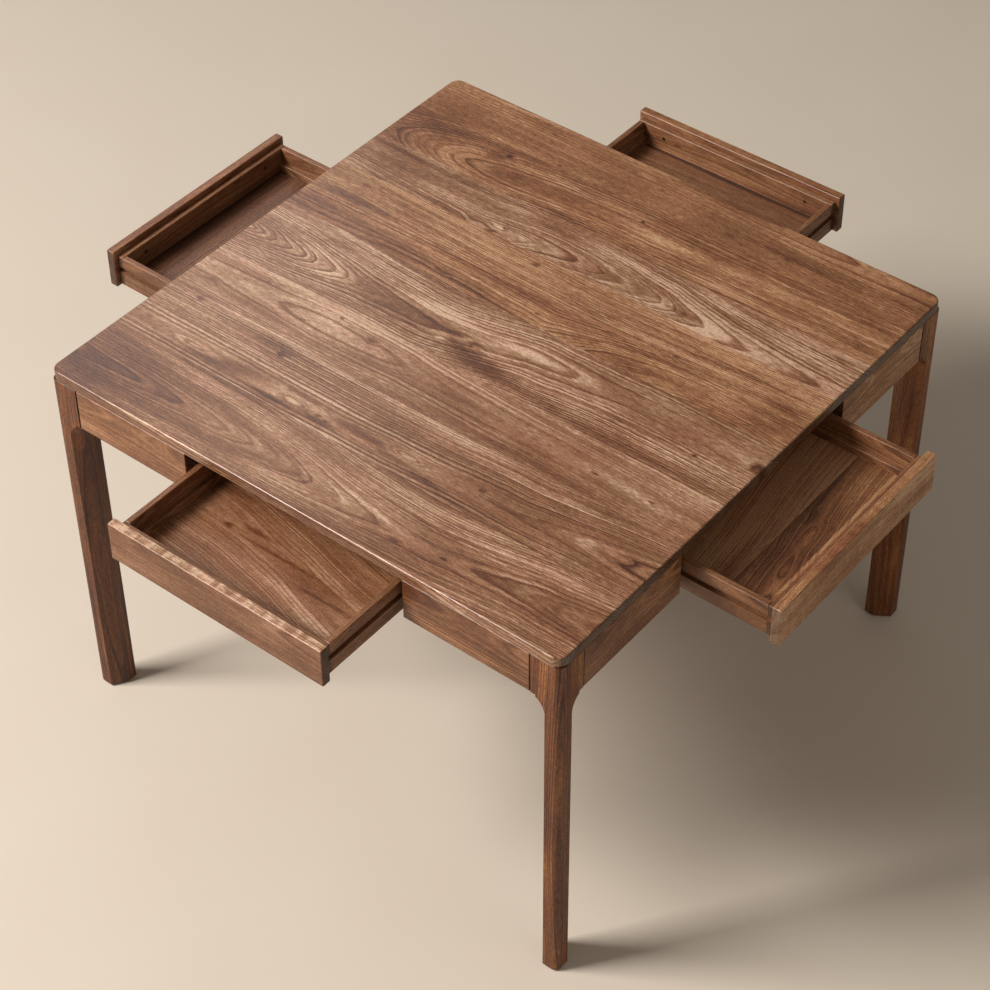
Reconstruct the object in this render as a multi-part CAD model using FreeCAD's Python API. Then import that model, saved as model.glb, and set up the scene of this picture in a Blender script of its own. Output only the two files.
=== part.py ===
import FreeCAD, Part
import os

# A square walnut mahjong table with a handle-less drawer in the middle of each side.
# Millimetres, +Z up, the origin on the floor at the table's centre, the front towards -Y.
# What repeats on the four sides is made once for the front and turned about Z. There, X runs
# along the side and Y runs inwards from it, so "left" is -X for someone facing the table.

Vector = FreeCAD.Vector

# Table
TABLE_SIDE = 1050.0
TABLE_HEIGHT = 750.0
TOP_THICK = 20.0
TOP_CORNER_R = 20.0
TOP_UPPER_EDGE_R = 3.5
TOP_LOWER_EDGE_R = 1.5
BOARD_WIDTHS = (155.0, 144.0, 112.0, 160.0, 64.0, 87.0, 104.0, 114.0, 110.0)

# Legs, measured in from the two outer faces
LEG_HEAD = 56.0
LEG_SHAFT = 46.5
LEG_FLAT = 29.0
LEG_SLANT_DEPTH = 25.0
LEG_CORNER_R = 12.5
HAUNCH_R = 34.0
HEAD_EDGE_R = 1.5
FOOT_EDGE_R = 4.0
PAD_R = 13.0
PAD_THICK = 3.5
PAD_STAND = 1.5
PAD_PLAY = 0.2

# Aprons
APRON_HEIGHT = 81.0
APRON_THICK = 20.0
APRON_EDGE_R = 2.0
SHADOW_GAP = 2.0
OPENING = 448.0
LEG_TENON_LENGTH = 26.0
LEG_TENON_THICK = 10.0
LEG_TENON_SHOULDER = 10.0

# Rails under the top
RAIL_THICK = 20.0
RAIL_HEIGHT = 70.0
RAIL_TENON_LENGTH = 8.0
RAIL_TENON_THICK = 10.0
RAIL_TENON_SHOULDER = 10.0

# Drawer face and box
FACE_THICK = 17.0
FACE_SIDE_GAP = 4.4
FINGER_GAP = 12.0
FACE_DROP = 6.5
FACE_EDGE_R = 2.5
BOX_BELOW_FACE = 11.0
BOX_HEIGHT = 60.0
BOX_SIDE_GAP = 13.0
BOX_REAR_GAP = 6.0
BOX_EDGE_R = 2.0
SIDE_THICK = 11.0
INNER_FRONT_THICK = 12.0
BACK_THICK = 12.0
TONGUE_LENGTH = 6.0
TONGUE_STOP = 4.0
BOTTOM_THICK = 8.0
BOTTOM_DEPTH = 45.0
BOTTOM_GROOVE = 5.0
BOTTOM_PLAY = 0.5
SLIP_WIDTH = 8.0
SLIP_RISE = 14.0
SLIP_LIP = 4.0
SLIP_EDGE_R = 2.0

# Drawer runners and stops
GROOVE_DOWN = 22.0
GROOVE_HEIGHT = 12.0
GROOVE_DEPTH = 6.0
RUNNING_GAP = 0.3
RUNNER_TIP_GAP = 0.5
LUG_LENGTH = 35.0
LUG_RISE = 16.0
LUG_SIDE_GAP = 1.0
EAR_SIDE_GAP = 1.0
EAR_OVER_GROOVE = 4.0
EAR_BELOW_TOP = 2.0
SHORT_OF_STOP = 31.9

# Screws
SCREW_R = 2.0
SCREW_HEAD_R = 3.75
SCREW_HEAD_DEPTH = 2.2
SCREW_TIP = 4.0
SCREW_TIP_R = 0.2
SCREW_PLAY = 0.1
RECESS_WIDTH = 1.0
RECESS_LENGTH = 4.4
RECESS_DEPTH = 1.4
WOOD_SCREW_LENGTH = 30.0
RUNNER_SCREW_INSET = 36.0
RAIL_WEB = 18.0
COUNTERBORE_R = 4.5
TOP_SCREW_NEAR = 90.0
TOP_SCREW_INSET = 105.0
FACE_SCREW_ALONG = 155.0
FACE_SCREW_DOWN = 19.0
FACE_SCREW_BITE = 12.0

# Worked out from the sizes above
HALF = TABLE_SIDE / 2
UNDER_TOP = TABLE_HEIGHT - TOP_THICK
APRON_BOTTOM = UNDER_TOP - APRON_HEIGHT
APRON_BACK = HALF - APRON_THICK
HALF_OPENING = OPENING / 2
RAIL_OUTER = HALF_OPENING + RAIL_THICK
RAIL_BOTTOM = UNDER_TOP - RAIL_HEIGHT

LEG_CUT_REACH = 2 * LEG_HEAD

FACE_TOP = UNDER_TOP - FINGER_GAP
FACE_BOTTOM = APRON_BOTTOM - FACE_DROP
BOX_TOP = FACE_TOP - BOX_BELOW_FACE
BOX_BOTTOM = BOX_TOP - BOX_HEIGHT
BOX_OUTER = HALF_OPENING - BOX_SIDE_GAP
BOX_INNER = BOX_OUTER - SIDE_THICK
BOX_LENGTH = HALF - FACE_THICK - RAIL_OUTER - BOX_REAR_GAP
GROOVE_TOP = BOX_TOP - GROOVE_DOWN
GROOVE_BOTTOM = GROOVE_TOP - GROOVE_HEIGHT
GROOVE_FLOOR = BOX_OUTER - GROOVE_DEPTH
BOTTOM_TOP = BOX_TOP - BOTTOM_DEPTH
BOTTOM_UNDER = BOTTOM_TOP - BOTTOM_THICK

RUNNER_FRONT = HALF - FACE_THICK - RUNNING_GAP
RUNNER_TIP = GROOVE_FLOOR + RUNNER_TIP_GAP
RUNNER_TOP = GROOVE_TOP - RUNNING_GAP
RUNNER_BOTTOM = GROOVE_BOTTOM + RUNNING_GAP
RUNNER_MIDDLE = (RUNNER_TOP + RUNNER_BOTTOM) / 2

# The travel from shut to the stop, and how far out the drawers stand here
CLOSED_BACK = RAIL_OUTER + BOX_REAR_GAP + BACK_THICK
DRAWER_TRAVEL = RUNNER_FRONT - LUG_LENGTH - RUNNING_GAP - CLOSED_BACK
DRAWER_OPEN = DRAWER_TRAVEL - SHORT_OF_STOP

# The drawer's stations along Y, with the drawer open by that much
FACE_Y = -(HALF + DRAWER_OPEN)
INNER_FRONT_Y = FACE_Y + FACE_THICK
SIDE_FRONT_Y = INNER_FRONT_Y + INNER_FRONT_THICK
BOX_REAR_Y = INNER_FRONT_Y + BOX_LENGTH
SIDE_REAR_Y = BOX_REAR_Y - BACK_THICK

SIDES = ("front", "right", "rear", "left")
LEGS = ("leg_front_left", "leg_front_right", "leg_rear_right", "leg_rear_left")
TOLERANCE = 0.001


# ---- helpers ----

def block(x, y, z):
    """A box between two X values, two Y values and two Z values, in any order."""
    low = Vector(min(x), min(y), min(z))
    return Part.makeBox(abs(x[1] - x[0]), abs(y[1] - y[0]), abs(z[1] - z[0]), low)


def same(a, b):
    return abs(a - b) < TOLERANCE


def eased(shape, radius, test):
    """Rounds every edge whose end points all pass the test."""
    edges = [edge for edge in shape.Edges if all(test(v.Point) for v in edge.Vertexes)]
    return shape.makeFillet(radius, edges)


def rounded_uprights(shape, radius, test):
    """Rounds the vertical edges whose lower end passes the test."""
    edges = []
    for edge in shape.Edges:
        ends = [v.Point for v in edge.Vertexes]
        upright = same(ends[0].x, ends[-1].x) and same(ends[0].y, ends[-1].y)
        if upright and test(ends[0]):
            edges.append(edge)
    return shape.makeFillet(radius, edges)


def joined(first, *others):
    return first.fuse(list(others)).removeSplitter()


def turned(shape, quarter_turns):
    """Carries something from the front to another side of the table."""
    copy = shape.copy()
    copy.rotate(Vector(0, 0, 0), Vector(0, 0, 1), 90 * quarter_turns)
    return copy


def other_hand(shape):
    """The same piece for the right-hand end of a side."""
    return shape.mirror(Vector(0, 0, 0), Vector(1, 0, 0))


def across_diagonal(shape):
    """Swaps X and Y, for what a leg has on both of its outer faces."""
    return shape.mirror(Vector(0, 0, 0), Vector(1, -1, 0))


def set_along(shape, point, direction):
    """Puts a shape made along +Z from the origin at a point, along a direction."""
    copy = shape.copy()
    copy.Placement = FreeCAD.Placement(point, FreeCAD.Rotation(Vector(0, 0, 1), direction))
    return copy


def drilled(shape, holes):
    """Cuts the holes that reach the shape."""
    near = [hole for hole in holes if hole.BoundBox.intersect(shape.BoundBox)]
    return shape.cut(near) if near else shape


def save(name, *solids):
    shape = solids[0] if len(solids) == 1 else Part.makeCompound(list(solids))
    shape.exportStep("parts/" + name + ".step")


# ---- screws ----

def countersunk_screw(length):
    """Head face at the origin, point along +Z, with a cross recess."""
    head = Part.makeCone(SCREW_HEAD_R, SCREW_R, SCREW_HEAD_DEPTH)
    shank_length = length - SCREW_HEAD_DEPTH - SCREW_TIP
    shank = Part.makeCylinder(SCREW_R, shank_length, Vector(0, 0, SCREW_HEAD_DEPTH))
    tip = Part.makeCone(SCREW_R, SCREW_TIP_R, SCREW_TIP, Vector(0, 0, length - SCREW_TIP))
    arm = (-RECESS_LENGTH / 2, RECESS_LENGTH / 2)
    width = (-RECESS_WIDTH / 2, RECESS_WIDTH / 2)
    depth = (0, RECESS_DEPTH)
    return joined(head, shank, tip).cut([block(arm, width, depth), block(width, arm, depth)])


def screw_hole(length, counterbore_depth):
    """The hole for that screw, with a counterbore behind the head where there is one."""
    sink = Part.makeCone(SCREW_HEAD_R + SCREW_PLAY, SCREW_R + SCREW_PLAY, SCREW_HEAD_DEPTH)
    bore = Part.makeCylinder(SCREW_R + SCREW_PLAY, length + SCREW_PLAY)
    if not counterbore_depth:
        return joined(sink, bore)
    start = Vector(0, 0, -counterbore_depth)
    return joined(sink, bore, Part.makeCylinder(COUNTERBORE_R, counterbore_depth, start))


def runner_screw_places():
    """Through the two runners of one side, outwards into the rails."""
    places = []
    for station in (-RUNNER_FRONT + RUNNER_SCREW_INSET, -RAIL_OUTER - RUNNER_SCREW_INSET):
        for hand in (-1, 1):
            places.append((Vector(hand * RUNNER_TIP, station, RUNNER_MIDDLE), Vector(hand, 0, 0)))
    return places


def top_screw_places():
    """Up through the front rail into the top."""
    far = APRON_BACK - TOP_SCREW_INSET
    y = -(HALF_OPENING + RAIL_THICK / 2)
    return [(Vector(x, y, UNDER_TOP - RAIL_WEB), Vector(0, 0, 1))
            for x in (-far, -TOP_SCREW_NEAR, TOP_SCREW_NEAR, far)]


def all_round(shape, places):
    """The shape at each of the places, on all four sides."""
    return [turned(set_along(shape, point, direction), quarter)
            for quarter in range(4) for point, direction in places]


def face_screw_places():
    """Through one drawer's inner front into its face."""
    z = BOX_TOP - FACE_SCREW_DOWN
    return [(Vector(x, SIDE_FRONT_Y, z), Vector(0, -1, 0))
            for x in (-FACE_SCREW_ALONG, FACE_SCREW_ALONG)]


# ---- top ----

def top_boards(holes):
    """The whole top, shaped and drilled, then parted along its glue lines."""
    side = (-HALF, HALF)
    panel = block(side, side, (UNDER_TOP, TABLE_HEIGHT))
    panel = rounded_uprights(panel, TOP_CORNER_R, lambda p: True)
    panel = eased(panel, TOP_UPPER_EDGE_R, lambda p: same(p.z, TABLE_HEIGHT))
    panel = eased(panel, TOP_LOWER_EDGE_R, lambda p: same(p.z, UNDER_TOP))
    panel = drilled(panel, holes)
    boards = []
    width_scale = TABLE_SIDE / sum(BOARD_WIDTHS)
    front = -HALF
    for width in BOARD_WIDTHS:
        rear = front + width * width_scale
        boards.append(panel.common(block(side, (front, rear), (UNDER_TOP, TABLE_HEIGHT))))
        front = rear
    return boards


# ---- legs ----

def haunch_cutter():
    """What is cut away beside the shaft: a curve under the head, then straight down.
    It is swept along the slanting face that runs from the outer face to the inner one.
    This cutter and the one inside the shaft both reach well past the leg's blank."""
    curve_low = APRON_BOTTOM - HAUNCH_R
    start = Vector(LEG_FLAT, 0, 0)
    tangent = Vector(LEG_FLAT, 0, curve_low)
    crown = Vector(LEG_FLAT + HAUNCH_R, 0, APRON_BOTTOM)
    middle = Vector(LEG_FLAT + HAUNCH_R * (1 - 0.5 ** 0.5), 0, curve_low + HAUNCH_R * 0.5 ** 0.5)
    outline = [
        Part.makeLine(start, tangent),
        Part.Arc(tangent, middle, crown).toShape(),
        Part.makeLine(crown, Vector(LEG_CUT_REACH, 0, APRON_BOTTOM)),
        Part.makeLine(Vector(LEG_CUT_REACH, 0, APRON_BOTTOM), Vector(LEG_CUT_REACH, 0, 0)),
        Part.makeLine(Vector(LEG_CUT_REACH, 0, 0), start),
    ]
    section = Part.Face(Part.Wire(outline))
    slant = Vector(LEG_SHAFT - LEG_FLAT, LEG_SLANT_DEPTH, 0)
    section.translate(-slant)
    return section.extrude(slant * (1 + (LEG_CUT_REACH + LEG_HEAD) / LEG_SLANT_DEPTH))


def leg_mortise():
    """The pocket for an apron's tenon, in the head's face that looks along +X."""
    cheek = (APRON_THICK - LEG_TENON_THICK) / 2
    height = (APRON_BOTTOM + LEG_TENON_SHOULDER, UNDER_TOP - LEG_TENON_SHOULDER)
    depth = (LEG_HEAD - LEG_TENON_LENGTH, LEG_HEAD)
    return block(depth, (cheek, cheek + LEG_TENON_THICK), height)


def leg():
    """One leg, its outer corner on the origin and its outer faces on X = 0 and Y = 0."""
    body = block((0, LEG_HEAD), (0, LEG_HEAD), (PAD_STAND, UNDER_TOP))
    body = rounded_uprights(body, LEG_CORNER_R, lambda p: same(p.x, 0) and same(p.y, 0))
    cutter = haunch_cutter()
    reach = (-LEG_CUT_REACH, LEG_CUT_REACH)
    inside = block((LEG_SHAFT, LEG_CUT_REACH), reach, (0, APRON_BOTTOM))
    for cut in (cutter, inside):
        body = body.cut(cut).cut(across_diagonal(cut))
    body = eased(body, FOOT_EDGE_R, lambda p: same(p.z, PAD_STAND))
    outer = lambda p: same(p.z, UNDER_TOP) and (same(p.x, 0) or same(p.y, 0))
    body = eased(body, HEAD_EDGE_R, outer)
    mortise = leg_mortise()
    recess = pad_disc(PAD_R + PAD_PLAY)
    return body.cut([mortise, across_diagonal(mortise), recess])


def pad_disc(radius):
    """A disc under the middle of the shaft, from the floor up into the leg."""
    return Part.makeCylinder(radius, PAD_THICK, Vector(LEG_SHAFT / 2, LEG_SHAFT / 2, 0))


def at_front_left(shape):
    copy = shape.copy()
    copy.translate(Vector(-HALF, -HALF, 0))
    return copy


# ---- aprons and rails ----

def rail_tenon(length_from, length_to):
    """The stub tenon of the rail at the left of the opening, between two Y values."""
    cheek = (RAIL_THICK - RAIL_TENON_THICK) / 2
    x = (-HALF_OPENING - cheek, -RAIL_OUTER + cheek)
    height = (RAIL_BOTTOM + RAIL_TENON_SHOULDER, UNDER_TOP - RAIL_TENON_SHOULDER)
    return block(x, (length_from, length_to), height)


def left_apron():
    """The front apron's piece between the left leg and the drawer opening."""
    shoulder = -HALF + LEG_HEAD + SHADOW_GAP
    y = (-HALF, -APRON_BACK)
    body = block((shoulder, -HALF_OPENING), y, (APRON_BOTTOM, UNDER_TOP))
    body = eased(body, APRON_EDGE_R, lambda p: same(p.y, -HALF))
    cheek = (APRON_THICK - LEG_TENON_THICK) / 2
    tenon = block(
        (-HALF + LEG_HEAD - LEG_TENON_LENGTH, shoulder),
        (-HALF + cheek, -HALF + cheek + LEG_TENON_THICK),
        (APRON_BOTTOM + LEG_TENON_SHOULDER, UNDER_TOP - LEG_TENON_SHOULDER),
    )
    return joined(body, tenon).cut(rail_tenon(-APRON_BACK - RAIL_TENON_LENGTH, -APRON_BACK))


def rail(notch_height):
    """The rail that runs left to right at the front of the drawers' crossing.
    Its two notches, over the given heights, house the rails that run the other way."""
    y = (-RAIL_OUTER, -HALF_OPENING)
    bar = block((-APRON_BACK, APRON_BACK), y, (RAIL_BOTTOM, UNDER_TOP))
    tenon = turned(rail_tenon(-APRON_BACK - RAIL_TENON_LENGTH, -APRON_BACK), 1)
    bar = joined(bar, tenon, other_hand(tenon))
    notch = block((-RAIL_OUTER, -HALF_OPENING), y, notch_height)
    return bar.cut([notch, other_hand(notch)])


def left_runner():
    """The strip in the left side's groove, with the stop lug on its front end."""
    wall = -HALF_OPENING
    strip = block((wall, -RUNNER_TIP), (-RUNNER_FRONT, -RAIL_OUTER), (RUNNER_BOTTOM, RUNNER_TOP))
    lug = block(
        (wall, -BOX_OUTER - LUG_SIDE_GAP),
        (-RUNNER_FRONT, -RUNNER_FRONT + LUG_LENGTH),
        (RUNNER_TOP, RUNNER_TOP + LUG_RISE),
    )
    return joined(strip, lug)


# ---- drawer ----

def drawer_face(holes):
    half = HALF_OPENING - FACE_SIDE_GAP
    face = block((-half, half), (FACE_Y, INNER_FRONT_Y), (FACE_BOTTOM, FACE_TOP))
    return drilled(eased(face, FACE_EDGE_R, lambda p: True), holes)


def side_tongue(y_from, y_to):
    """The tongue on an end of the left side, on the half that the groove leaves whole."""
    return block((-GROOVE_FLOOR, -BOX_INNER), (y_from, y_to), (BOX_BOTTOM, BOX_TOP - TONGUE_STOP))


def runner_groove(y_from, y_to):
    """The groove in the drawer's left flank."""
    return block((-BOX_OUTER, -GROOVE_FLOOR), (y_from, y_to), (GROOVE_BOTTOM, GROOVE_TOP))


def box_end(y_from, y_to, tongue, inner_y):
    """A board across the whole box, housing the sides' tongues and the bottom's edge."""
    board = block((-BOX_OUTER, BOX_OUTER), (y_from, y_to), (BOX_BOTTOM, BOX_TOP))
    board = eased(board, BOX_EDGE_R, lambda p: same(p.z, BOX_TOP))
    groove = runner_groove(y_from, y_to)
    into = BOTTOM_GROOVE if inner_y == y_from else -BOTTOM_GROOVE
    reach = BOX_INNER - SLIP_WIDTH + BOTTOM_GROOVE
    housing = block((-reach, reach), (inner_y, inner_y + into), (BOTTOM_UNDER, BOTTOM_TOP))
    return board.cut([groove, other_hand(groove), tongue, other_hand(tongue), housing])


def drawer_inner_front(holes):
    tongue = side_tongue(SIDE_FRONT_Y - TONGUE_LENGTH, SIDE_FRONT_Y)
    return drilled(box_end(INNER_FRONT_Y, SIDE_FRONT_Y, tongue, SIDE_FRONT_Y), holes)


def drawer_back():
    """The back, with an ear at each end that meets the runner's lug."""
    tongue = side_tongue(SIDE_REAR_Y, SIDE_REAR_Y + TONGUE_LENGTH)
    board = box_end(SIDE_REAR_Y, BOX_REAR_Y, tongue, SIDE_REAR_Y)
    x = (-HALF_OPENING + EAR_SIDE_GAP, -BOX_OUTER)
    height = (GROOVE_TOP + EAR_OVER_GROOVE, BOX_TOP - EAR_BELOW_TOP)
    ear = block(x, (SIDE_REAR_Y, BOX_REAR_Y), height)
    return joined(board, ear, other_hand(ear))


def drawer_left_side():
    side = block((-BOX_OUTER, -BOX_INNER), (SIDE_FRONT_Y, SIDE_REAR_Y), (BOX_BOTTOM, BOX_TOP))
    side = eased(side, BOX_EDGE_R, lambda p: same(p.z, BOX_TOP))
    side = side.cut(runner_groove(SIDE_FRONT_Y, SIDE_REAR_Y))
    front_tongue = side_tongue(SIDE_FRONT_Y - TONGUE_LENGTH, SIDE_FRONT_Y)
    rear_tongue = side_tongue(SIDE_REAR_Y, SIDE_REAR_Y + TONGUE_LENGTH)
    return joined(side, front_tongue, rear_tongue)


def drawer_bottom():
    """The panel, held on all four edges with room to swell."""
    grip = BOTTOM_GROOVE - BOTTOM_PLAY
    half = BOX_INNER - SLIP_WIDTH + grip
    return block((-half, half), (SIDE_FRONT_Y - grip, SIDE_REAR_Y + grip), (BOTTOM_UNDER, BOTTOM_TOP))


def drawer_left_slip():
    """The strip glued inside the left side, grooved for the bottom panel."""
    x = (-BOX_INNER, -BOX_INNER + SLIP_WIDTH)
    y = (SIDE_FRONT_Y, SIDE_REAR_Y)
    top = BOTTOM_TOP + SLIP_RISE
    slip = block(x, y, (BOTTOM_UNDER - SLIP_LIP, top))
    slip = eased(slip, SLIP_EDGE_R, lambda p: same(p.z, top) and same(p.x, x[1]))
    groove = block((x[1] - BOTTOM_GROOVE, x[1]), y, (BOTTOM_UNDER, BOTTOM_TOP))
    return slip.cut(groove)


# ---- assembly ----

def save_frame():
    runner_hole = screw_hole(WOOD_SCREW_LENGTH, 0)
    rail_hole = screw_hole(WOOD_SCREW_LENGTH, RAIL_HEIGHT - RAIL_WEB)
    holes = all_round(runner_hole, runner_screw_places())
    holes += all_round(rail_hole, top_screw_places())
    wood_screw = countersunk_screw(WOOD_SCREW_LENGTH)
    places = runner_screw_places() + top_screw_places()
    save("wood_screws", *all_round(wood_screw, places))

    for number, board in enumerate(top_boards(holes), 1):
        save("top_board_" + str(number), board)

    corner_leg = at_front_left(leg())
    pad = at_front_left(pad_disc(PAD_R))
    for quarter, name in enumerate(LEGS):
        save(name, turned(corner_leg, quarter))
    save("foot_pads", *[turned(pad, quarter) for quarter in range(4)])

    half_height = (RAIL_BOTTOM + UNDER_TOP) / 2
    notches = ((half_height, UNDER_TOP), (RAIL_BOTTOM, half_height))
    apron = left_apron()
    for quarter, side in enumerate(SIDES):
        save(side + "_apron_left", turned(apron, quarter))
        save(side + "_apron_right", turned(other_hand(apron), quarter))
        frame_rail = turned(rail(notches[quarter % 2]), quarter)
        save(side + "_rail", drilled(frame_rail, holes))

    runner = left_runner()
    pair = (runner, other_hand(runner))
    runners = [turned(one, quarter) for quarter in range(4) for one in pair]
    save("drawer_runners", *[drilled(one, holes) for one in runners])


def save_drawers():
    length = INNER_FRONT_THICK + FACE_SCREW_BITE
    places = face_screw_places()
    holes = [set_along(screw_hole(length, 0), *place) for place in places]
    screws = [set_along(countersunk_screw(length), *place) for place in places]
    side = drawer_left_side()
    slip = drawer_left_slip()
    pieces = {
        "face": [drawer_face(holes)],
        "inner_front": [drawer_inner_front(holes)],
        "left_side": [side],
        "right_side": [other_hand(side)],
        "back": [drawer_back()],
        "bottom": [drawer_bottom()],
        "slips": [slip, other_hand(slip)],
        "face_screws": screws,
    }
    for quarter, place in enumerate(SIDES):
        for piece, solids in pieces.items():
            save(place + "_drawer_" + piece, *[turned(solid, quarter) for solid in solids])


os.makedirs("parts", exist_ok=True)
save_frame()
save_drawers()
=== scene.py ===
import math

import bpy
from mathutils import Matrix, Vector


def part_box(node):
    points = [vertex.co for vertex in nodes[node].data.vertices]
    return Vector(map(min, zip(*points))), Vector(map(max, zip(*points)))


# A walnut mahjong table, dressed around its solids. Metres, +Z up, the front towards -Y.
# Wood patterns are laid out in millimetres along and across each piece's own grain.

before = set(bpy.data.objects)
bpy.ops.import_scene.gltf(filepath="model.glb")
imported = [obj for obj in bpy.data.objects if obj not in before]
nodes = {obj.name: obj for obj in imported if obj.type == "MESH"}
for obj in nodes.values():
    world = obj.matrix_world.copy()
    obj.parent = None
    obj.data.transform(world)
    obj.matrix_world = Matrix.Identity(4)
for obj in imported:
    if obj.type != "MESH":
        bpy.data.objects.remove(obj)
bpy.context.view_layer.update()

MM = 0.001
ALONG_X, ALONG_Y, ALONG_Z = Vector((1, 0, 0)), Vector((0, 1, 0)), Vector((0, 0, 1))


def linear(colour):
    """An sRGB hex colour as linear red, green, blue and alpha."""
    channels = [int(colour[i : i + 2], 16) / 255 for i in (1, 3, 5)]
    lit = [c / 12.92 if c <= 0.04045 else ((c + 0.055) / 1.055) ** 2.4 for c in channels]
    return (*lit, 1.0)


def add(tree, kind, sockets=(), stops=None, **settings):
    """Adds a node. Sockets are values, nodes or outputs, in order or by name; stops fill a ramp."""
    node = tree.nodes.new("ShaderNode" + kind)
    for name, value in settings.items():
        setattr(node, name, value)
    if stops:
        ramp = node.color_ramp.elements
        while len(ramp) < len(stops):
            ramp.new(0.5)
        for element, (position, colour) in zip(ramp, stops):
            element.position = position
            element.color = colour
    named = sockets.items() if isinstance(sockets, dict) else enumerate(sockets)
    for key, value in named:
        if isinstance(value, bpy.types.Node):
            value = value.outputs[0]
        if isinstance(value, bpy.types.NodeSocket):
            tree.links.new(value, node.inputs[key])
        elif value is not None:
            node.inputs[key].default_value = value
    return node


def new_material(name):
    """A material without nodes yet, and its node tree."""
    material = bpy.data.materials.new(name)
    material.use_nodes = True
    material.node_tree.nodes.clear()
    return material, material.node_tree


def dress(node_name, material):
    """Gives a CAD piece its finish."""
    mesh = nodes[node_name].data
    if not mesh.materials:
        mesh.materials.append(material)
    for slot in range(len(mesh.materials)):
        mesh.materials[slot] = material


# ---- walnut ----

# From the dark streaks of the heartwood to the pale wood laid down early in the year
PIGMENT = {
    "top": ("#43200d", "#643a20", "#835a3d", "#a27b60", "#d6b9a2"),
    "warm": ("#44220e", "#63391f", "#845839", "#a37754", "#cfab89"),
    "leg": ("#32170a", "#4e2810", "#6e3f20", "#8c592f", "#ab7a48"),
    "box": ("#3a2010", "#57341e", "#754d31", "#926848", "#b48c69"),
}
PIGMENT_STEPS = (0.0, 0.28, 0.52, 0.74, 1.0)
# Where plain wood lies on those steps
PLAIN_WOOD = 0.57
# One year's growth: pale early wood, darkening to a thin line of late wood
YEAR = ((0.0, 0.24), (0.12, 0.26), (0.42, 0.34), (0.64, 0.42), (0.82, 0.84), (0.91, 1.0),
        (1.0, 0.24))
YEAR_MIDDLE = 0.45
# A ramp's colours can't be negative, so a pith's path is kept in it shifted by half this span
PATH_SPAN = 200.0
BOARD_LENGTH = 1050.0
HALF_BOARD_WIDTH = 60.0
# How far apart in the wood two pieces are whose seeds differ by one
SOWN_APART = (1370.0, 730.0, 410.0)


def grain_space(tree, centre, along, across, crossed):
    """Millimetres along the grain, across it and out of the face, from the piece's middle.
    Where strips on all four sides share a node, crossed turns the grain of those on the left
    and right by a quarter."""
    place = add(tree, "TexCoord").outputs["Object"]
    turn = Matrix((along, across, along.cross(across))).transposed().to_euler()
    grain = add(tree, "Mapping", (place, centre, turn, (MM, MM, MM)), vector_type="TEXTURE")
    if crossed:
        turn = Matrix((across, -along, along.cross(across))).transposed().to_euler()
        other = add(tree, "Mapping", (place, centre, turn, (MM, MM, MM)), vector_type="TEXTURE")
        reach = add(tree, "VectorMath", (place,), operation="ABSOLUTE")
        reach = add(tree, "SeparateXYZ", (reach,)).outputs
        sideways = add(tree, "Math", (reach[0], reach[1]), operation="GREATER_THAN")
        grain = add(tree, "Mix", {0: sideways, 4: grain, 5: other}, data_type="VECTOR").outputs[1]
    return grain


def streaks(tree, sown, length, width, detail):
    """Soft, uneven streaks in the wood, so many millimetres long and wide."""
    spread = add(tree, "VectorMath", (sown, (1 / length, 1 / width, 1 / width)),
                 operation="MULTIPLY")
    return add(tree, "TexNoise", {"Vector": spread, "Scale": 1.0, "Detail": detail})


def ring_lines(tree, rings, pace, run, length, detail, seed=0.0):
    """Uneven lines that keep to the rings for so many millimetres of the run along a board."""
    outward = add(tree, "Math", (rings, pace), operation="MULTIPLY")
    onward = add(tree, "Math", (run, 1 / length, seed), operation="MULTIPLY_ADD")
    spread = add(tree, "CombineXYZ", (outward, onward))
    return add(tree, "TexNoise", {"Vector": spread, "Scale": 1.0, "Detail": detail},
               noise_dimensions="2D")


def off_line(tree, grain, sown):
    """The grain wandering a few millimetres off its line over a hand's length."""
    wander = streaks(tree, sown, 260, 130, 2.0).outputs[1]
    reach = Vector((0.0, 8.0, 5.0))
    drift = add(tree, "VectorMath", (wander, reach, -reach / 2), operation="MULTIPLY_ADD")
    return add(tree, "VectorMath", (grain, drift), operation="ADD")


def pith_below(tree, run, length, pith):
    """The middle of the rings under each place along the board: how far aside and how deep."""
    share = add(tree, "Math", (run, 1 / length, 0.5), operation="MULTIPLY_ADD", use_clamp=True)
    stops = [(at / length + 0.5, (aside / PATH_SPAN + 0.5, depth / PATH_SPAN, 0.0, 1.0))
             for at, aside, depth in pith]
    path = add(tree, "ValToRGB", (share,), stops=stops)
    path.color_ramp.interpolation = "CARDINAL"
    middle = add(tree, "VectorMath",
                 (path, (PATH_SPAN, PATH_SPAN, 0.0), (-PATH_SPAN / 2, 0.0, 0.0)),
                 operation="MULTIPLY_ADD")
    return add(tree, "SeparateXYZ", (middle,)).outputs


def glued_up(tree, grain, joins, tone):
    """Past each glue line lies the next board, cut deeper in the log and in a shade of its own."""
    aside = add(tree, "SeparateXYZ", (grain,)).outputs[1]
    for at, deeper, shade in joins:
        past = add(tree, "Math", (aside, at), operation="LESS_THAN")
        grain = add(tree, "VectorMath", (past, (0.0, 0.0, deeper), grain),
                    operation="MULTIPLY_ADD")
        tone = add(tree, "Math", (past, shade, tone), operation="MULTIPLY_ADD")
    return grain, tone


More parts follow.
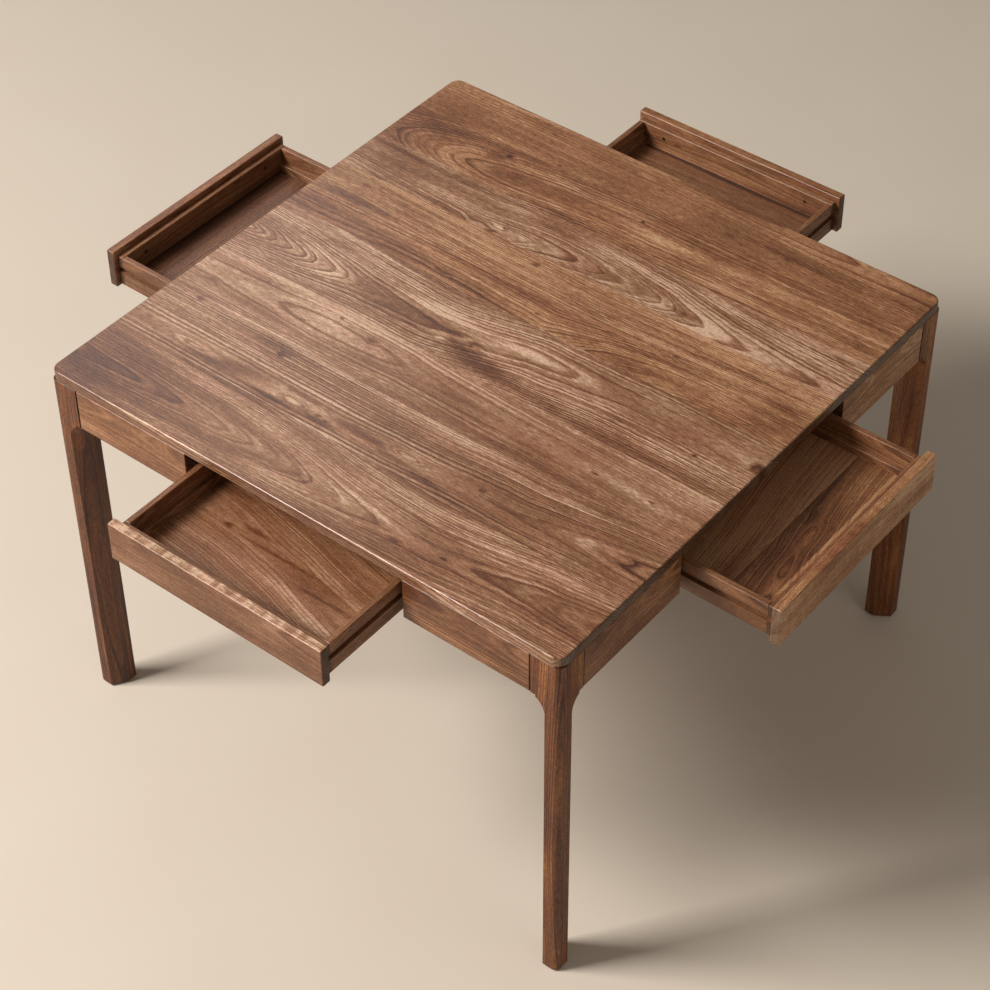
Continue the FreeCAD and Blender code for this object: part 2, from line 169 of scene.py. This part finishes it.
def knots_stains_and_painted_shade(tree, wavy, marks, depth, tone):
    """Knots and eyes lift the rings around them, and spots and bands are darker or lighter: some
    are the wood's own stains, and some are painted shade and light.
    Each reaches right through the board."""
    through = 1000.0
    for run, aside, length, width, lift, shade in marks:
        spot = add(tree, "Mapping", (wavy, (run, aside, 0.0), None, (length, width, through)),
                   vector_type="TEXTURE")
        reach = add(tree, "VectorMath", (spot,), operation="LENGTH").outputs["Value"]
        near = add(tree, "MapRange", (reach, 0.0, 1.0, 1.0, 0.0),
                   interpolation_type="SMOOTHERSTEP")
        if lift:
            depth = add(tree, "Math", (near, lift, depth), operation="MULTIPLY_ADD")
        if shade:
            tone = add(tree, "Math", (near, shade, tone), operation="MULTIPLY_ADD")
    return depth, tone


def growth_rings(tree, place, middle, depth, sown, ring, seed):
    """Rings around the pith, a little rippled and uneven, and the late wood in each of them."""
    aside = add(tree, "Math", (place[1], middle[0]), operation="SUBTRACT")
    below = add(tree, "Math", (place[2], depth), operation="ADD")
    away = add(tree, "CombineXYZ", (aside, below))
    radius = add(tree, "VectorMath", (away,), operation="LENGTH").outputs["Value"]
    ripple = streaks(tree, sown, 80, 9, 2.0)
    # Counted in rings: the ripple and the unevenness from year to year are shares of one
    rings = add(tree, "Math", (radius, 1 / ring, seed), operation="MULTIPLY_ADD")
    rings = add(tree, "Math", (ripple, 0.4, rings), operation="MULTIPLY_ADD")
    pace = add(tree, "Math", (rings, 0.37), operation="MULTIPLY")
    uneven = add(tree, "TexNoise", {"W": pace, "Scale": 1.0, "Detail": 1.0},
                 noise_dimensions="1D")
    rings = add(tree, "Math", (uneven, 1.6, rings), operation="MULTIPLY_ADD")
    within = add(tree, "Math", (rings,), operation="FRACT")
    late = add(tree, "ValToRGB", (within,), stops=[(at, (g, g, g, 1.0)) for at, g in YEAR])
    late = add(tree, "Math", (late, YEAR_MIDDLE), operation="SUBTRACT")
    strength = ring_lines(tree, rings, 0.61, place[0], 300, 0.0)
    strength = add(tree, "MapRange", (strength, 0.30, 0.66, 0.4, 1.0))
    late = add(tree, "Math", (late, strength), operation="MULTIPLY")
    # Where the face lies along the rings, in the middle of an arch, the late wood spreads and pales
    slant = add(tree, "Math", (aside, radius), operation="DIVIDE")
    slant = add(tree, "Math", (slant,), operation="ABSOLUTE")
    clear = add(tree, "MapRange", (slant, 0.0, 0.3, 0.75, 1.0))
    late = add(tree, "Math", (late, clear), operation="MULTIPLY")
    return radius, rings, late


def paint_light_on_upper_faces(tree, normal, waves, painted_top_light, level):
    """Paints light on upward faces, and painted shade where the amount is below zero, in the
    rolling waves of the fibres.
    """
    upward = add(tree, "VectorMath", (normal, ALONG_Z), operation="DOT_PRODUCT").outputs["Value"]
    upward = add(tree, "MapRange", (upward, 0.6, 0.95, 0.0, painted_top_light))
    roll = add(tree, "Math", (waves, 2.6, -0.3), operation="MULTIPLY_ADD")
    return add(tree, "Math", (upward, roll, level), operation="MULTIPLY_ADD")


def end_grain(tree, normal, along):
    """End grain drinks more oil and goes darker: how much, from nothing on the faces."""
    facing = add(tree, "VectorMath", (normal, along), operation="DOT_PRODUCT").outputs["Value"]
    facing = add(tree, "Math", (facing,), operation="ABSOLUTE")
    return add(tree, "MapRange", (facing, 0.55, 0.9, 0.0, 0.58), interpolation_type="SMOOTHSTEP")


def oiled(tree, wood, fibres, pores, gloss):
    """A thin satin film of oil: the pores stay open and matt, and the fibres stand up a little."""
    sheen = add(tree, "Math", (pores, 0.14, 0.48), operation="MULTIPLY_ADD")
    height = add(tree, "Math", (fibres, 0.35), operation="MULTIPLY")
    height = add(tree, "Math", (pores, -1.0, height), operation="MULTIPLY_ADD")
    relief = add(tree, "Bump", {"Strength": 0.35, "Distance": 0.08 * MM, "Height": height})
    surface = add(tree, "BsdfPrincipled", {
        "Base Color": wood, "Roughness": sheen, "IOR": 1.5, "Specular IOR Level": 0.35,
        "Coat Weight": gloss, "Coat Roughness": 0.27, "Normal": relief,
    })
    add(tree, "OutputMaterial", (surface,))


def walnut(name, centre, along, across, length, pith, ring=5.0, marks=(), pigment="top",
           tone=0.0, painted_light_lean=(0.0, 0.0), streak=0.5, line=0.9, hair=0.62, fibre=0.62, gloss=0.6,
           curl=0.0, painted_top_light=0.0, joins=(), seed=0.0, crossed=False):
    """Planed black walnut under a satin oil: rings cut by the board's face draw arches and eyes,
    brown pigment runs in bands and hair-thin lines along them, fibres show as fine silky
    threads, and open pores lie between them as short dark dashes.

    The grain is laid out from the centre, along and across it, over a length. Lengths are
    millimetres, and tones and shades are above zero where the wood is paler.
    pith    the middle of the rings below the board, as (along, aside, depth) from its middle
    ring    how far the rings lie apart
    marks   spots (along, aside, length, width, lift, shade), where the rings swell by lift
    painted_light_lean  painted light and shade: how much paler the wood gets towards the far end
    and far edge streak, line, hair, fibre
            how strongly bands of pigment, late wood, hair lines and threads show
    gloss   how much of the surface the film of oil covers
    curl    how strongly short waves run across the grain
    painted_top_light  painted light on upward faces, painted shade where below zero
    joins   glue lines (aside, deeper, shade), past which the next board is cut deeper
    seed    keeps a piece unlike its neighbours
    crossed for strips on all four sides that share a node"""
    material, tree = new_material(name)
    grain = grain_space(tree, centre, along, across, crossed)
    if joins:
        grain, tone = glued_up(tree, grain, joins, tone)
    sown = add(tree, "VectorMath", (grain, [step * seed for step in SOWN_APART]), operation="ADD")
    wavy = off_line(tree, grain, sown)
    place = add(tree, "SeparateXYZ", (wavy,)).outputs
    middle = pith_below(tree, place[0], length, pith)
    depth, level = knots_stains_and_painted_shade(tree, wavy, marks, middle[1], tone)
    radius, rings, late = growth_rings(tree, place, middle, depth, sown, ring, seed)

    # Bands of pigment and hair lines follow the rings for most of a board's length
    band = ring_lines(tree, rings, 0.2, place[0], 420, 2.0, seed)
    hairs = ring_lines(tree, radius, 1 / 2.1, place[0], 500, 1.0)
    # Fibres are finer than a hair, so bundles of them are drawn over a millimetre wide
    fibres = streaks(tree, sown, 14, 1.3, 0.0)
    waves = streaks(tree, sown, 11, 45, 1.0)
    clouds = streaks(tree, sown, 150, 40, 2.0)

    # Painted light and shade: the tone grows paler or darker along and across the board, as the
    # light falls over the top
    level = add(tree, "Math", (place[0], 2 * painted_light_lean[0] / length, level), operation="MULTIPLY_ADD")
    level = add(tree, "Math", (place[1], painted_light_lean[1] / HALF_BOARD_WIDTH, level),
                operation="MULTIPLY_ADD")
    level = add(tree, "Math", (late, -line, level), operation="MULTIPLY_ADD")
    # Each pattern averages a half, so half of its strength is taken off again
    rest = PLAIN_WOOD
    for source, amount in ((band, streak), (hairs, hair), (fibres, fibre), (clouds, 0.5),
                           (waves, 0.06 + curl)):
        level = add(tree, "Math", (source, amount, level), operation="MULTIPLY_ADD")
        rest -= amount / 2
    normal = add(tree, "TexCoord").outputs["Normal"]
    # Painted light on the upward faces, and painted shade where the amount is below zero
    if painted_top_light:
        level = paint_light_on_upper_faces(tree, normal, waves, painted_top_light, level)
    level = add(tree, "Math", (level, rest), operation="ADD")
    steps = [(step, linear(colour)) for step, colour in zip(PIGMENT_STEPS, PIGMENT[pigment])]
    wood = add(tree, "ValToRGB", (level,), stops=steps)

    # Some patches are redder
    hue = streaks(tree, sown, 120, 26, 1.0)
    tint = add(tree, "ValToRGB", (hue,),
               stops=[(0.34, linear("#fffdf6")), (0.66, linear("#fff4f0"))])
    wood = add(tree, "Mix", {0: 1.0, 6: wood, 7: tint}, data_type="RGBA", blend_type="MULTIPLY")

    # Open pores, a fraction of a millimetre wide, drawn about 1 mm wide so that they show
    dash = streaks(tree, sown, 4, 1.2, 0.0)
    pores = add(tree, "MapRange", (dash, 0.48, 0.68, 0.0, 1.0), interpolation_type="SMOOTHSTEP")
    dim = add(tree, "Math", (pores, 0.34, end_grain(tree, normal, along)),
              operation="MULTIPLY_ADD")
    keep = add(tree, "Math", (1.0, dim), operation="SUBTRACT", use_clamp=True)
    wood = add(tree, "VectorMath", {0: wood.outputs[2], 3: keep}, operation="SCALE")
    oiled(tree, wood, fibres, pores, gloss)
    return material


def across_of(along):
    """The level direction a quarter turn to the left of another."""
    return Vector((-along.y, along.x, 0.0))


# How each top board is cut from its log, from the front to the back of the table
# Some broad, faint spots, darker towards the board ends and paler in the middles, are painted shade
# and light: the fall of light over the top laid into the tone
TOP_BOARDS = {
    "top_board_1": dict(
        pith=((-525, -9, 22), (-300, -8, 29), (-160, -8, 35), (-10, -16, 46), (120, -22, 53),
              (260, -18, 54), (390, 0, 51), (460, 4, 48), (525, 8, 45)),
        ring=4.0, seed=0.13, painted_light_lean=(0.06, 0.02), line=0.65, hair=0.7, fibre=0.55,
        marks=((258, -19, 12, 6, 2.5, -0.3), (462, 3, 55, 8, 0, -0.18),
               # The two wide dark spots on the left end, at -440 and -520, are painted shade
               (175, -32, 24, 7, 1.5, -0.1), (-440, -10, 230, 90, 0, -0.26),
               (-520, -56, 190, 70, 0, -0.2), (90, 0, 260, 80, 0, 0.14),
               (-350, -50, 20, 14, 0, -0.1), (330, 26, 190, 4, 0, 0.14), (120, 48, 160, 5, 0, 0.12),
               (-60, 10, 260, 22, 0, -0.04), (-390, 40, 40, 10, 1, -0.08),
               (480, -60, 240, 24, 0, -0.08), (500, 10, 150, 110, 0, -0.16),
               (-110, 0, 200, 100, 0, 0.1)),
    ),
    "top_board_2": dict(
        pith=((-525, -38, 52), (-200, -38, 52), (-70, -38, 53), (20, -36, 51.6), (150, -30, 52),
              (215, -26, 51.4), (300, -24, 50), (400, -14, 47), (525, -4, 43)),
        ring=4.4, seed=0.29, tone=0.02, hair=0.7, fibre=0.55,
        marks=((-375, -38, 80, 13, 4.4, 0.12), (-330, -51, 110, 11, 0, -0.34),
               (-255, -28, 80, 8, 0, -0.26), (-158, -42, 60, 15, 4.4, 0.1),
               (-195, -59, 80, 10, 0, -0.42), (-150, -23, 70, 7, 0, -0.28),
               (-95, -53, 60, 10, 0, -0.36), (-25, -34, 100, 14, 0, -0.4),
               (-103, -43, 10, 6, 2.5, -0.2), (-84, -46, 9, 5, 2, -0.2),
               (70, -30, 64, 14, 4.4, 0.06), (55, -46, 70, 8, 0, -0.36),
               (124, -54, 56, 7, 0, -0.34), (186, -66, 60, 6, 0, -0.34),
               (212, -18, 10, 6, 2.5, -0.36), (-250, 32, 14, 10, 4, -0.5),
               (-452, 58, 14, 12, 4, -0.4), (100, -57, 150, 4, 0, -0.22),
               (300, -70, 150, 5, 0, -0.26), (-330, 62, 260, 8, 0, 0.16), (0, 59, 220, 5, 0, 0.16),
               (-420, -5, 140, 6, 0, 0.18), (-230, -16, 170, 5, 0, -0.18),
               (60, 6, 420, 12, 0, -0.12), (390, -28, 90, 22, 0, -0.1), (470, -4, 50, 12, 2, 0.1),
               (395, 58, 16, 14, 2, -0.12), (500, 0, 160, 110, 0, -0.22),
               (-440, 40, 200, 30, 0, 0.08)),
    ),
    "top_board_3": dict(
        pith=((-525, 2, 55), (-350, 2, 52), (-265, 4, 49), (-200, 4, 49), (-120, 4, 50),
              (-60, 4, 52), (100, -2, 54), (250, -4, 54.4), (430, -6, 55), (525, -6, 56)),
        ring=5.0, seed=0.47, tone=0.08, line=0.35, streak=0.4, curl=0.05, painted_light_lean=(-0.04, 0.08),
        marks=((-472, -26, 30, 18, 3, -0.18), (-392, 30, 9, 4, 2, -0.3), (-232, 34, 8, 5, 2, -0.32),
               (-280, -8, 8, 4, 2, -0.26), (-155, 20, 22, 12, 3, -0.24),
               (-300, 42, 330, 20, 0, 0.16), (325, -8, 14, 5, 2, -0.24), (432, -5, 9, 4, 2, -0.3),
               (-235, 8, 60, 24, 0, 0.08), (60, -12, 200, 26, 0, -0.08), (230, 0, 8, 5, 1, -0.2),
               (455, 30, 80, 24, 0, 0.06)),
    ),
    "top_board_4": dict(
        pith=((-525, -12, 2), (-460, -12, 13), (-380, -14, 24), (-290, -14, 36), (-200, -18, 41),
              (-80, -18, 44), (60, 12, 46), (140, 20, 48), (220, 26, 51), (300, 30, 52),
              (525, 28, 52)),
        ring=4.6, tone=0.08, line=0.95,
        marks=((-12, -18, 26, 13, 3, -0.3), (-110, 14, 150, 24, 0, 0.44), (60, 18, 130, 16, 0, 0.3),
               (20, -52, 110, 32, 0, -0.52), (-35, -34, 60, 18, 0, -0.24),
               (-75, -34, 34, 16, 2, 0.24), (-132, -44, 26, 8, 2, -0.26),
               (-85, -10, 36, 10, 1, -0.14), (517, 22, 20, 18, 3, -0.6),
               (120, 26, 100, 10, 0, 0.08), (300, -66, 380, 24, 0, -0.3), (423, -14, 8, 5, 2, -0.3),
               (330, 46, 260, 16, 0, 0.08), (-420, 40, 160, 30, 0, 0.04),
               (180, -64, 30, 14, 0, -0.12)),
    ),
    "top_board_5": dict(
        pith=((-525, -45, 84), (-340, -45, 82), (-170, -48, 79), (0, -50, 82), (60, -53, 80),
              (150, -54, 62), (260, -54, 38), (400, -54, 21), (525, -54, 30)),
        ring=4.4, seed=0.77, pigment="warm", line=0.6, painted_light_lean=(0.05, 0.0),
        marks=((-250, -8, 110, 9, 0, -0.3), (-180, -16, 34, 12, 2, -0.26),
               (-350, -26, 50, 9, 0, 0.22), (-90, 2, 130, 9, 0, 0.1), (330, -14, 230, 34, 0, -0.14),
               (15, -4, 8, 4, 2, -0.28), (110, -22, 60, 12, 0, -0.12), (-60, -24, 90, 8, 0, -0.08),
               (430, -30, 12, 4, 0, -0.18), (480, 30, 130, 50, 0, -0.18),
               (0, -20, 180, 70, 0, 0.14), (-440, 30, 120, 40, 0, -0.08)),
    ),
    "top_board_6": dict(
        pith=((-525, 96, 20), (-400, 94, 20), (0, 80, 18), (250, 84, 18), (525, 100, 20)),
        ring=3.9, seed=0.91, pigment="warm", tone=0.12, line=0.85, hair=0.65, painted_light_lean=(0.0, 0.02),
        marks=((-66, 22, 14, 9, 3, -0.4), (-440, 14, 16, 10, 3, -0.26), (262, -28, 10, 6, 2, -0.34),
               (-400, -30, 190, 15, 0, -0.3), (475, -28, 60, 15, 0, -0.3),
               (-225, -38, 40, 8, 0, -0.2), (330, 8, 260, 3, 0, -0.3), (-90, -34, 160, 7, 0, -0.12),
               (430, 24, 120, 14, 0, 0.02), (-170, 24, 240, 36, 0, 0.14),
               (-470, -36, 110, 36, 0, -0.14)),
    ),
    "top_board_7": dict(
        pith=((-525, -58, 34), (-260, -58, 42), (-200, -50, 47), (-110, -30, 50.5), (-20, -24, 54),
              (50, -22, 58), (100, -24, 61.5), (180, -26, 66.5), (290, -36, 73), (525, -40, 78)),
        ring=3.4, seed=0.07, tone=0.1, painted_light_lean=(0.06, -0.02), line=0.72, hair=0.6, fibre=0.65,
        marks=((-180, -34, 40, 12, 2, 0.16), (-232, -40, 24, 12, 1, -0.12),
               (-450, 36, 110, 10, 0, -0.26), (-120, -32, 60, 8, 0, 0.1),
               (-30, -26, 26, 14, 0, -0.14), (212, -26, 46, 13, 0, -0.3),
               (275, -30, 44, 9, 0, 0.24), (140, 30, 340, 16, 0, 0.14), (400, 4, 240, 22, 0, 0.08),
               (482, 36, 34, 10, 0, -0.28), (-150, 38, 300, 5, 0, -0.14),
               (60, -6, 80, 8, 1.5, 0.08), (-450, 0, 130, 80, 0, -0.14),
               (-90, 26, 100, 40, 0, -0.12), (100, -36, 140, 36, 0, 0.14)),
    ),
    "top_board_8": dict(
        pith=((-525, -26, 76), (-475, -24, 68), (-380, -22, 52), (-300, -18, 44), (-200, -8, 41),
              (-60, 2, 41), (150, 4, 42), (525, 12, 42)),
        ring=3.7, seed=0.37, pigment="warm", line=0.6, hair=0.65, fibre=0.65, painted_light_lean=(0.0, -0.04),
        marks=((-294, 31, 34, 22, 6, -0.1), (-293, 32, 11, 7, 0, -0.8), (-314, 17, 34, 16, 0, -0.3),
               (-110, 29, 44, 12, 2.5, -0.08), (8, 23, 7, 5, 2, -0.5), (18, 12, 12, 8, 1, 0.08),
               (-140, -48, 150, 10, 0, -0.24), (190, -40, 320, 18, 0, 0.2),
               (160, 42, 140, 6, 0, 0.2), (480, -28, 70, 14, 0, -0.2), (-345, 50, 40, 6, 0, 0.16),
               (300, 16, 240, 26, 0, 0.06), (-470, 0, 120, 90, 0, -0.2), (60, 0, 200, 40, 0, 0.12),
               (470, 30, 90, 30, 0, -0.16), (270, -20, 170, 40, 0, 0.1)),
    ),
    "top_board_9": dict(
        pith=((-525, 62, 30), (-60, 60, 34), (100, 58, 36), (300, 44, 40), (525, 34, 44)),
        ring=4.6, seed=0.53, pigment="warm", tone=0.02, line=0.5, streak=0.3, hair=0.4,
        painted_light_lean=(-0.1, 0.02),
        marks=((-60, 24, 40, 9, 3, 0.18), (-205, -46, 8, 5, 2, -0.38), (265, -22, 12, 8, 2, -0.22),
               (150, -24, 16, 8, 2, -0.22), (280, -14, 220, 12, 0, -0.14),
               (-200, 11, 330, 5, 0, 0.12), (330, 8, 180, 4, 0, 0.16),
               (-250, -20, 230, 18, 0, -0.06), (-440, -48, 140, 12, 0, -0.18),
               (480, 0, 60, 6, 0, -0.2), (40, 30, 130, 14, 0, 0.1), (-440, -20, 150, 60, 0, -0.12),
               (280, -40, 110, 40, 0, 0.1)),
    ),
}


def top_boards():
    """Wide boards with the strongest figure, all running from left to right."""
    for name, cut in TOP_BOARDS.items():
        low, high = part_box(name)
        dress(name, walnut("oiled_walnut_" + name, (low + high) / 2, ALONG_X, ALONG_Y,
                           BOARD_LENGTH, **cut))


def sawn(name, along, across, **cut):
    """Dresses one piece in its own cut of walnut, laid out from the middle of the piece."""
    low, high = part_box(name)
    span = abs((high - low).dot(along)) / MM
    cut.setdefault("pith", ((-span / 2, 30, 40), (0, 24, 46), (span / 2, 30, 40)))
    dress(name, walnut("oiled_walnut_" + name, (low + high) / 2, along, across, span, **cut))


def legs():
    """Dark, straight-grained blanks, rubbed down almost matt."""
    # Each leg's shade is partly painted light and shade, set to how brightly that leg is lit
    shades = {"front_left": -0.16, "front_right": -0.07, "rear_right": 0.0, "rear_left": -0.05}
    for number, (name, shade) in enumerate(shades.items()):
        sawn("leg_" + name, ALONG_Z, ALONG_X, pigment="leg", ring=4.5, seed=0.19 + 0.23 * number,
             pith=((-365, 44, 26), (0, 36, 32), (365, 48, 24)), tone=shade, line=0.45,
             hair=0.7, fibre=0.45, streak=0.8, gloss=0.15)


# On each side: the tones of its left and right apron, and how the drawer's face and bottom are cut
# The tones of the aprons, drawer faces and bottoms are partly painted light and shade, set to how
# brightly each piece is lit
SIDES = {
    "front": dict(
        along=ALONG_X, left=-0.02, right=-0.14,
        face=dict(tone=-0.1, painted_top_light=0.32, pigment="top"),
        bottom=dict(
            pith=((-196, 30, 36), (-60, 12, 40), (60, -14, 40), (196, -46, 36)),
            tone=-0.02, pigment="top",
            marks=((-112, 7, 14, 9, 4, -0.5), (-60, 22, 60, 8, 0, -0.3),
                   (-150, 70, 60, 16, 0, -0.2), (20, -44, 160, 14, 0, 0.14),
                   (0, 2, 130, 6, 0, -0.3), (110, -26, 90, 6, 0, -0.3)),
        ),
    ),
    "right": dict(
        along=ALONG_Y, left=-0.04, right=0.16,
        face=dict(tone=0.22, painted_top_light=-0.2, curl=0.16, pigment="warm"),
        bottom=dict(
            pith=((-196, -84, 30), (-60, -66, 40), (40, -48, 44), (196, -30, 46)),
            tone=0.27, line=0.55, joins=((-22, -34, -0.38), (-90, 52, 0.42)),
            marks=((-100, -56, 150, 44, 0, -0.22), (30, -44, 40, 16, 3, -0.16),
                   (-150, -74, 70, 26, 9, 0), (-60, -38, 60, 18, 8, 0), (0, -72, 60, 20, -8, 0),
                   (120, -60, 120, 40, 0, 0.14), (-90, 40, 240, 60, 0, 0.08)),
        ),
    ),
    "rear": dict(
        along=-ALONG_X, left=0.0, right=0.0,
        face=dict(tone=-0.12, painted_top_light=0.06, pigment="warm"),
        # The dark strip along the inner front is a painted contact shadow where the bottom meets it
        bottom=dict(marks=((0, -115, 420, 11, 0, -0.9),)),
    ),
    "left": dict(
        along=-ALONG_Y, left=0.0, right=0.0,
        face=dict(tone=-0.14, pigment="warm"),
        # The dark strip along the inner front is a painted contact shadow where the bottom meets it
        bottom=dict(tone=-0.26, marks=((0, -115, 420, 11, 0, -0.5),)),
    ),
}
# The plainer wood of the rails and drawer boxes, with little oil on it
BOX_WOOD = dict(pigment="box", line=0.4, hair=0.6, fibre=0.4, gloss=0.25)


def frame_and_drawers():
    """Aprons, rails and drawers. What is added to a side's seed keeps its pieces unlike."""
    for number, (side, cut) in enumerate(SIDES.items()):
        along, seed = cut["along"], 0.11 + 0.21 * number
        inward = across_of(along)
        drawer = side + "_drawer_"
        for hand, apart in (("left", 0.31), ("right", 0.0)):
            sawn(f"{side}_apron_{hand}", along, ALONG_Z, pigment="warm", ring=4.6, line=0.4,
                 hair=0.6, fibre=0.5, tone=cut[hand], gloss=0.3, seed=seed + apart)
            sawn(f"{drawer}{hand}_side", inward, ALONG_Z, seed=seed + apart + 0.1, **BOX_WOOD)
        sawn(drawer + "face", along, ALONG_Z, ring=4.6, line=0.35, hair=0.5, fibre=0.4, gloss=0.3,
             seed=seed + 0.5, **cut["face"])
        knot = ((124, 8, 12, 9, 3, -0.3),) if side == "rear" else ()
        sawn(drawer + "inner_front", along, ALONG_Z, seed=seed + 0.6, marks=knot, **BOX_WOOD)
        sawn(drawer + "back", along, ALONG_Z, seed=seed + 0.7, **BOX_WOOD)
        sawn(drawer + "bottom", along, inward, ring=5.5, seed=seed + 0.8,
             **{**BOX_WOOD, **cut["bottom"]})
        sawn(drawer + "slips", inward, ALONG_Z, seed=seed + 0.9, **BOX_WOOD)
        sawn(side + "_rail", along, ALONG_Z, seed=seed + 0.25, **BOX_WOOD)


def runners():
    """Strips sawn far from the pith, so that their rings show as near-straight lines."""
    middle, half = Vector((0.0, 0.0, 0.679)), BOARD_LENGTH / 2
    dress("drawer_runners", walnut("planed_walnut_runners", middle, ALONG_X, ALONG_Y,
                                   BOARD_LENGTH, pith=((-half, 300, 60), (half, 300, 60)),
                                   pigment="box", crossed=True))


# ---- metal and felt ----

def steel(name, pale, deep, roughness):
    """Plated steel screws: a soft grey or bronze shine, with faint clouds about 1 mm wide that
    the plating bath leaves."""
    clouds_in_a_metre = 900.0
    material, tree = new_material(name)
    place = add(tree, "TexCoord").outputs["Object"]
    clouds = add(tree, "TexNoise", {"Vector": place, "Scale": clouds_in_a_metre, "Detail": 2.0})
    colour = add(tree, "ValToRGB", (clouds,), stops=[(0.35, linear(deep)), (0.65, linear(pale))])
    gloss = add(tree, "MapRange", (clouds, 0.3, 0.7, roughness - 0.06, roughness + 0.08))
    surface = add(tree, "BsdfPrincipled",
                  {"Base Color": colour, "Metallic": 1.0, "Roughness": gloss})
    add(tree, "OutputMaterial", (surface,))
    return material


def wool_felt():
    """Pressed wool felt: a matt, hairy brown-grey with fibres lying every way. Real hairs are far
    finer than the tufts of about 0.7 mm drawn here, which can be seen."""
    tufts_in_a_metre = 1400.0
    material, tree = new_material("wool_felt")
    place = add(tree, "TexCoord").outputs["Object"]
    hairs = add(tree, "TexNoise", {"Vector": place, "Scale": tufts_in_a_metre, "Detail": 4.0,
                                   "Distortion": 2.0})
    colour = add(tree, "ValToRGB", (hairs,),
                 stops=[(0.3, linear("#3a312b")), (0.7, linear("#6b5f55"))])
    relief = add(tree, "Bump", {"Strength": 0.6, "Distance": 0.2 * MM, "Height": hairs})
    surface = add(tree, "BsdfPrincipled",
                  {"Base Color": colour, "Roughness": 0.95, "IOR": 1.45, "Normal": relief})
    add(tree, "OutputMaterial", (surface,))
    return material


def fittings():
    """Zinc-plated screws under the top, bronzed ones inside the drawers, and the foot pads."""
    dress("wood_screws", steel("zinc_plated_steel", "#c9ccce", "#a9adb0", 0.32))
    bronze = steel("bronzed_steel", "#7d6a55", "#5b4a3a", 0.38)
    for side in SIDES:
        dress(side + "_drawer_face_screws", bronze)
    dress("foot_pads", wool_felt())


top_boards()
legs()
frame_and_drawers()
runners()
fittings()


# ---- studio ----

def pale_floor():
    """A matt pale floor that fills every view, with a faint mottle of about a third of a metre."""
    reach = 30.0
    corners = [(-reach, -reach, 0), (reach, -reach, 0), (reach, reach, 0), (-reach, reach, 0)]
    mesh = bpy.data.meshes.new("floor")
    mesh.from_pydata(corners, [], [(0, 1, 2, 3)])
    floor = bpy.data.objects.new("floor", mesh)
    bpy.context.scene.collection.objects.link(floor)
    material, tree = new_material("pale_floor")
    place = add(tree, "TexCoord").outputs["Object"]
    mottle = add(tree, "TexNoise", {"Vector": place, "Scale": 3.0, "Detail": 3.0})
    colour = add(tree, "ValToRGB", (mottle,),
                 stops=[(0.3, linear("#d6cec3")), (0.7, linear("#d8d1c6"))])
    surface = add(tree, "BsdfPrincipled",
                  {"Base Color": colour, "Roughness": 0.95, "Specular IOR Level": 0.08})
    add(tree, "OutputMaterial", (surface,))
    mesh.materials.append(material)


def soft_light(name, at, size, power, colour):
    """A square softbox aimed at the table's top."""
    data = bpy.data.lights.new(name, "AREA")
    data.shape = "SQUARE"
    data.size = size
    data.energy = power
    data.color = linear(colour)[:3]
    light = bpy.data.objects.new(name, data)
    light.location = at
    aim = Vector((0.0, 0.0, 0.6)) - Vector(at)
    light.rotation_euler = aim.to_track_quat("-Z", "Y").to_euler()
    bpy.context.scene.collection.objects.link(light)
    return light


def studio():
    """A large key light from the front left, a weak fill from the right and a warm glow around."""
    soft_light("key", (-3.2, -3.85, 4.75), 2.2, 540.0, "#fff6ec")
    soft_light("fill", (3.8, -0.6, 3.2), 3.0, 17.0, "#fff0e0")
    # These two show only as gloss, on the rounded edges and on the top
    edge = soft_light("edge", (-1.5, -2.7, 2.4), 1.3, 95.0, "#ffe9de")
    edge.visible_diffuse = False
    sheen = soft_light("sheen", (-2.0, 1.0, 2.4), 1.4, 14.0, "#f6f4f2")
    sheen.visible_diffuse = False
    world = bpy.data.worlds.new("studio")
    world.use_nodes = True
    world.node_tree.nodes.clear()
    glow = add(world.node_tree, "Background", (linear("#efe3d4"), 0.24))
    add(world.node_tree, "OutputWorld", (glow,))
    bpy.context.scene.world = world
    bpy.context.scene.view_settings.view_transform = "Standard"


def camera():
    """Looks down on the corner between the front and the right side through a long lens."""
    data = bpy.data.cameras.new("camera")
    data.sensor_width = 36.0
    data.lens = 93.246
    data.shift_y = -0.05
    data.clip_end = 100.0
    view = bpy.data.objects.new("camera", data)
    view.location = (2.0275, -2.5281, 3.4745)
    view.rotation_euler = [math.radians(a) for a in (47.418, 0.436, 38.570)]
    bpy.context.scene.collection.objects.link(view)
    bpy.context.scene.camera = view


pale_floor()
studio()
camera()
